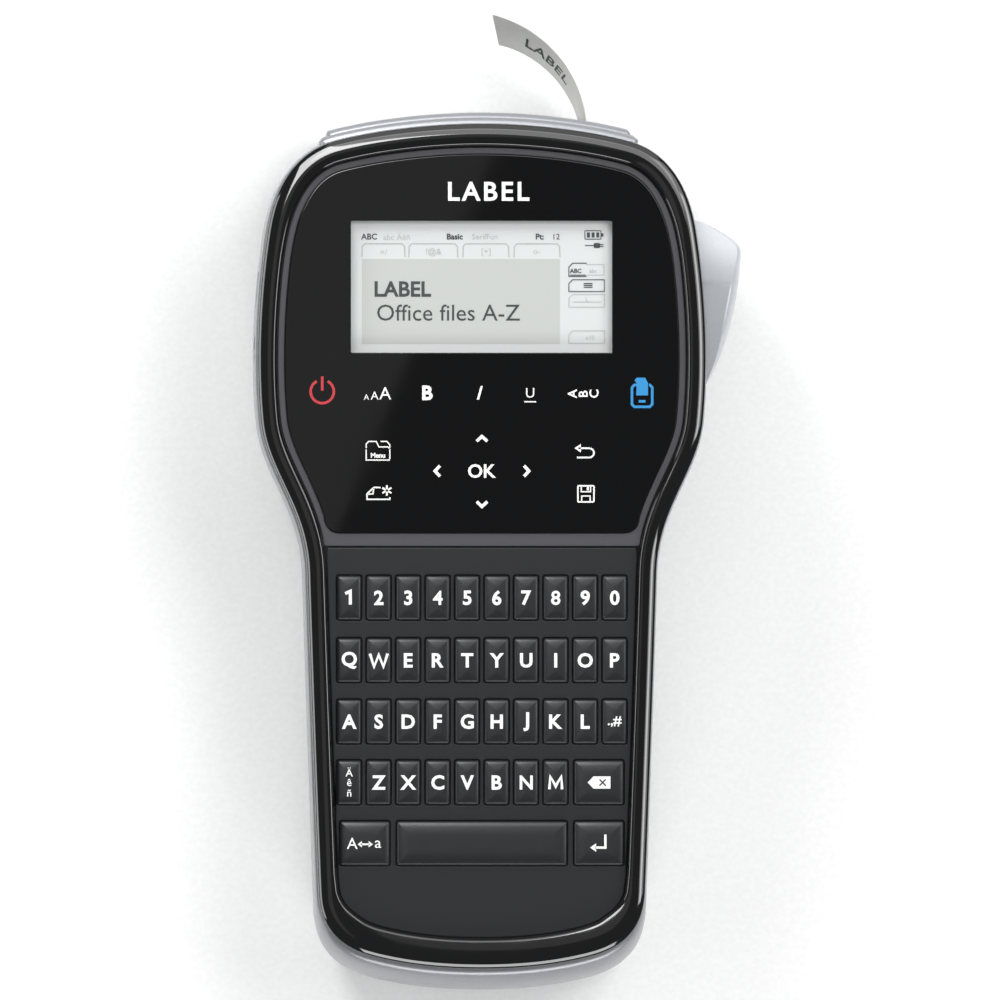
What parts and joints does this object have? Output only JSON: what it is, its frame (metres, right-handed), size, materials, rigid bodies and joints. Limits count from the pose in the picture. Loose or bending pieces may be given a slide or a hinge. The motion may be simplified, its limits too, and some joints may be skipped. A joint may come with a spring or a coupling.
{
  "type": "label maker",
  "caption": "Handheld label printer with letter keyboard, graphic display, drop-in tape cassette and a side lever that cuts the printed label.",
  "frame": {"origin": "on the flat back of the rear casing, on the printer's centre line, between the cassette cover and the battery cover", "axes": "+Z out of the face with the display and keys, +Y along the printer towards the label exit, +X to the right seen from the front"},
  "size_m": [0.1159, 0.2317, 0.055],
  "materials": {
    "silver_casing": "satin, silver painted",
    "gloss_black": "gloss",
    "satin_grey": "satin",
    "lens_black": "gloss",
    "keypad_black": "matte",
    "display": "satin",
    "battery_wrap": "satin",
    "moulded_black": "matte",
    "cassette_plastic": "satin",
    "label_stock": "satin",
    "ribbon": "satin",
    "roller_rubber": "matte",
    "bright_steel": "brushed",
    "key_plastic": "satin"
  },
  "bodies": {
    "housing": {"rear_casing": "silver_casing", "front_cover": "gloss_black", "head_panel": "satin_grey", "screen_lens": "lens_black", "keypad_plate": "keypad_black", "lcd_module": "display", "battery_pack": "battery_wrap", "cassette_bay": "moulded_black", "tape_cassette": "cassette_plastic", "print_head": "bright_steel", "label_tape": "label_stock"},
    "cutter_button": {"cutter_button": "silver_casing"},
    "cutter_blade": {"cutter_blade": "bright_steel"},
    "cassette_cover": {"cassette_cover": "silver_casing"},
    "battery_cover": {"battery_cover": "silver_casing"},
    "tape_spool": {"tape_spool": "label_stock"},
    "takeup_spool": {"takeup_spool": "ribbon"},
    "platen_roller": {"platen_roller": "roller_rubber"},
    "key_1": {"key_1": "key_plastic"},
    "key_2": {"key_2": "key_plastic"},
    "key_3": {"key_3": "key_plastic"},
    "key_4": {"key_4": "key_plastic"},
    "key_5": {"key_5": "key_plastic"},
    "key_6": {"key_6": "key_plastic"},
    "key_7": {"key_7": "key_plastic"},
    "key_8": {"key_8": "key_plastic"},
    "key_9": {"key_9": "key_plastic"},
    "key_0": {"key_0": "key_plastic"},
    "key_q": {"key_q": "key_plastic"},
    "key_w": {"key_w": "key_plastic"},
    "key_e": {"key_e": "key_plastic"},
    "key_r": {"key_r": "key_plastic"},
    "key_t": {"key_t": "key_plastic"},
    "key_y": {"key_y": "key_plastic"},
    "key_u": {"key_u": "key_plastic"},
    "key_i": {"key_i": "key_plastic"},
    "key_o": {"key_o": "key_plastic"},
    "key_p": {"key_p": "key_plastic"},
    "key_a": {"key_a": "key_plastic"},
    "key_s": {"key_s": "key_plastic"},
    "key_d": {"key_d": "key_plastic"},
    "key_f": {"key_f": "key_plastic"},
    "key_g": {"key_g": "key_plastic"},
    "key_h": {"key_h": "key_plastic"},
    "key_j": {"key_j": "key_plastic"},
    "key_k": {"key_k": "key_plastic"},
    "key_l": {"key_l": "key_plastic"},
    "key_punctuation": {"key_punctuation": "key_plastic"},
    "key_accent": {"key_accent": "key_plastic"},
    "key_z": {"key_z": "key_plastic"},
    "key_x": {"key_x": "key_plastic"},
    "key_c": {"key_c": "key_plastic"},
    "key_v": {"key_v": "key_plastic"},
    "key_b": {"key_b": "key_plastic"},
    "key_n": {"key_n": "key_plastic"},
    "key_m": {"key_m": "key_plastic"},
    "key_backspace": {"key_backspace": "key_plastic"},
    "key_caps": {"key_caps": "key_plastic"},
    "key_space": {"key_space": "key_plastic"},
    "key_enter": {"key_enter": "key_plastic"}
  },
  "joints": [
    {"name": "cutter_press", "type": "hinge", "parent": "housing", "child": "cutter_button", "pos_m": [0.0507, 0.0415, 0.023], "axis": [0, 0, 1], "range_deg": [0, 8], "stiffness_Nm_per_rad": 1.5},
    {"name": "blade_stroke", "type": "slide", "parent": "housing", "child": "cutter_blade", "axis": [-1, 0, 0], "range_m": [0, 0.004]},
    {"name": "cassette_cover_swing", "type": "hinge", "parent": "housing", "child": "cassette_cover", "pos_m": [-0.0035, 0.0212, 0.00135], "axis": [-1, 0, 0], "range_deg": [0, 100]},
    {"name": "battery_cover_slide", "type": "slide", "parent": "housing", "child": "battery_cover", "axis": [0, -1, 0], "range_m": [0, 0.012]},
    {"name": "platen_spin", "type": "hinge", "parent": "housing", "child": "platen_roller", "pos_m": [0.0206, 0.071, 0.0142], "axis": [0, 0, 1], "continuous": true},
    {"name": "tape_spool_spin", "type": "hinge", "parent": "housing", "child": "tape_spool", "pos_m": [-0.0225, 0.051, 0.0142], "axis": [0, 0, 1], "continuous": true},
    {"name": "takeup_spin", "type": "hinge", "parent": "housing", "child": "takeup_spool", "pos_m": [0.008, 0.045, 0.0142], "axis": [0, 0, 1], "continuous": true},
    {"name": "key_1_press", "type": "slide", "parent": "housing", "child": "key_1", "axis": [0, 0, -1], "range_m": [0, 0.001], "stiffness_N_per_m": 600},
    {"name": "key_2_press", "type": "slide", "parent": "housing", "child": "key_2", "axis": [0, 0, -1], "range_m": [0, 0.001], "stiffness_N_per_m": 600},
    {"name": "key_3_press", "type": "slide", "parent": "housing", "child": "key_3", "axis": [0, 0, -1], "range_m": [0, 0.001], "stiffness_N_per_m": 600},
    {"name": "key_4_press", "type": "slide", "parent": "housing", "child": "key_4", "axis": [0, 0, -1], "range_m": [0, 0.001], "stiffness_N_per_m": 600},
    {"name": "key_5_press", "type": "slide", "parent": "housing", "child": "key_5", "axis": [0, 0, -1], "range_m": [0, 0.001], "stiffness_N_per_m": 600},
    {"name": "key_6_press", "type": "slide", "parent": "housing", "child": "key_6", "axis": [0, 0, -1], "range_m": [0, 0.001], "stiffness_N_per_m": 600},
    {"name": "key_7_press", "type": "slide", "parent": "housing", "child": "key_7", "axis": [0, 0, -1], "range_m": [0, 0.001], "stiffness_N_per_m": 600},
    {"name": "key_8_press", "type": "slide", "parent": "housing", "child": "key_8", "axis": [0, 0, -1], "range_m": [0, 0.001], "stiffness_N_per_m": 600},
    {"name": "key_9_press", "type": "slide", "parent": "housing", "child": "key_9", "axis": [0, 0, -1], "range_m": [0, 0.001], "stiffness_N_per_m": 600},
    {"name": "key_0_press", "type": "slide", "parent": "housing", "child": "key_0", "axis": [0, 0, -1], "range_m": [0, 0.001], "stiffness_N_per_m": 600},
    {"name": "key_q_press", "type": "slide", "parent": "housing", "child": "key_q", "axis": [0, 0, -1], "range_m": [0, 0.001], "stiffness_N_per_m": 600},
    {"name": "key_w_press", "type": "slide", "parent": "housing", "child": "key_w", "axis": [0, 0, -1], "range_m": [0, 0.001], "stiffness_N_per_m": 600},
    {"name": "key_e_press", "type": "slide", "parent": "housing", "child": "key_e", "axis": [0, 0, -1], "range_m": [0, 0.001], "stiffness_N_per_m": 600},
    {"name": "key_r_press", "type": "slide", "parent": "housing", "child": "key_r", "axis": [0, 0, -1], "range_m": [0, 0.001], "stiffness_N_per_m": 600},
    {"name": "key_t_press", "type": "slide", "parent": "housing", "child": "key_t", "axis": [0, 0, -1], "range_m": [0, 0.001], "stiffness_N_per_m": 600},
    {"name": "key_y_press", "type": "slide", "parent": "housing", "child": "key_y", "axis": [0, 0, -1], "range_m": [0, 0.001], "stiffness_N_per_m": 600},
    {"name": "key_u_press", "type": "slide", "parent": "housing", "child": "key_u", "axis": [0, 0, -1], "range_m": [0, 0.001], "stiffness_N_per_m": 600},
    {"name": "key_i_press", "type": "slide", "parent": "housing", "child": "key_i", "axis": [0, 0, -1], "range_m": [0, 0.001], "stiffness_N_per_m": 600},
    {"name": "key_o_press", "type": "slide", "parent": "housing", "child": "key_o", "axis": [0, 0, -1], "range_m": [0, 0.001], "stiffness_N_per_m": 600},
    {"name": "key_p_press", "type": "slide", "parent": "housing", "child": "key_p", "axis": [0, 0, -1], "range_m": [0, 0.001], "stiffness_N_per_m": 600},
    {"name": "key_a_press", "type": "slide", "parent": "housing", "child": "key_a", "axis": [0, 0, -1], "range_m": [0, 0.001], "stiffness_N_per_m": 600},
    {"name": "key_s_press", "type": "slide", "parent": "housing", "child": "key_s", "axis": [0, 0, -1], "range_m": [0, 0.001], "stiffness_N_per_m": 600},
    {"name": "key_d_press", "type": "slide", "parent": "housing", "child": "key_d", "axis": [0, 0, -1], "range_m": [0, 0.001], "stiffness_N_per_m": 600},
    {"name": "key_f_press", "type": "slide", "parent": "housing", "child": "key_f", "axis": [0, 0, -1], "range_m": [0, 0.001], "stiffness_N_per_m": 600},
    {"name": "key_g_press", "type": "slide", "parent": "housing", "child": "key_g", "axis": [0, 0, -1], "range_m": [0, 0.001], "stiffness_N_per_m": 600},
    {"name": "key_h_press", "type": "slide", "parent": "housing", "child": "key_h", "axis": [0, 0, -1], "range_m": [0, 0.001], "stiffness_N_per_m": 600},
    {"name": "key_j_press", "type": "slide", "parent": "housing", "child": "key_j", "axis": [0, 0, -1], "range_m": [0, 0.001], "stiffness_N_per_m": 600},
    {"name": "key_k_press", "type": "slide", "parent": "housing", "child": "key_k", "axis": [0, 0, -1], "range_m": [0, 0.001], "stiffness_N_per_m": 600},
    {"name": "key_l_press", "type": "slide", "parent": "housing", "child": "key_l", "axis": [0, 0, -1], "range_m": [0, 0.001], "stiffness_N_per_m": 600},
    {"name": "key_punctuation_press", "type": "slide", "parent": "housing", "child": "key_punctuation", "axis": [0, 0, -1], "range_m": [0, 0.001], "stiffness_N_per_m": 600},
    {"name": "key_accent_press", "type": "slide", "parent": "housing", "child": "key_accent", "axis": [0, 0, -1], "range_m": [0, 0.001], "stiffness_N_per_m": 600},
    {"name": "key_z_press", "type": "slide", "parent": "housing", "child": "key_z", "axis": [0, 0, -1], "range_m": [0, 0.001], "stiffness_N_per_m": 600},
    {"name": "key_x_press", "type": "slide", "parent": "housing", "child": "key_x", "axis": [0, 0, -1], "range_m": [0, 0.001], "stiffness_N_per_m": 600},
    {"name": "key_c_press", "type": "slide", "parent": "housing", "child": "key_c", "axis": [0, 0, -1], "range_m": [0, 0.001], "stiffness_N_per_m": 600},
    {"name": "key_v_press", "type": "slide", "parent": "housing", "child": "key_v", "axis": [0, 0, -1], "range_m": [0, 0.001], "stiffness_N_per_m": 600},
    {"name": "key_b_press", "type": "slide", "parent": "housing", "child": "key_b", "axis": [0, 0, -1], "range_m": [0, 0.001], "stiffness_N_per_m": 600},
    {"name": "key_n_press", "type": "slide", "parent": "housing", "child": "key_n", "axis": [0, 0, -1], "range_m": [0, 0.001], "stiffness_N_per_m": 600},
    {"name": "key_m_press", "type": "slide", "parent": "housing", "child": "key_m", "axis": [0, 0, -1], "range_m": [0, 0.001], "stiffness_N_per_m": 600},
    {"name": "key_backspace_press", "type": "slide", "parent": "housing", "child": "key_backspace", "axis": [0, 0, -1], "range_m": [0, 0.001], "stiffness_N_per_m": 600},
    {"name": "key_caps_press", "type": "slide", "parent": "housing", "child": "key_caps", "axis": [0, 0, -1], "range_m": [0, 0.001], "stiffness_N_per_m": 600},
    {"name": "key_space_press", "type": "slide", "parent": "housing", "child": "key_space", "axis": [0, 0, -1], "range_m": [0, 0.001], "stiffness_N_per_m": 600},
    {"name": "key_enter_press", "type": "slide", "parent": "housing", "child": "key_enter", "axis": [0, 0, -1], "range_m": [0, 0.001], "stiffness_N_per_m": 600}
  ],
  "couplings": [
    {"joint": "blade_stroke", "follows": "cutter_press", "m_per_rad": 0.0286},
    {"joint": "takeup_spin", "follows": "platen_spin", "ratio": 0.875},
    {"joint": "tape_spool_spin", "follows": "platen_spin", "ratio": 0.2222}
  ]
}
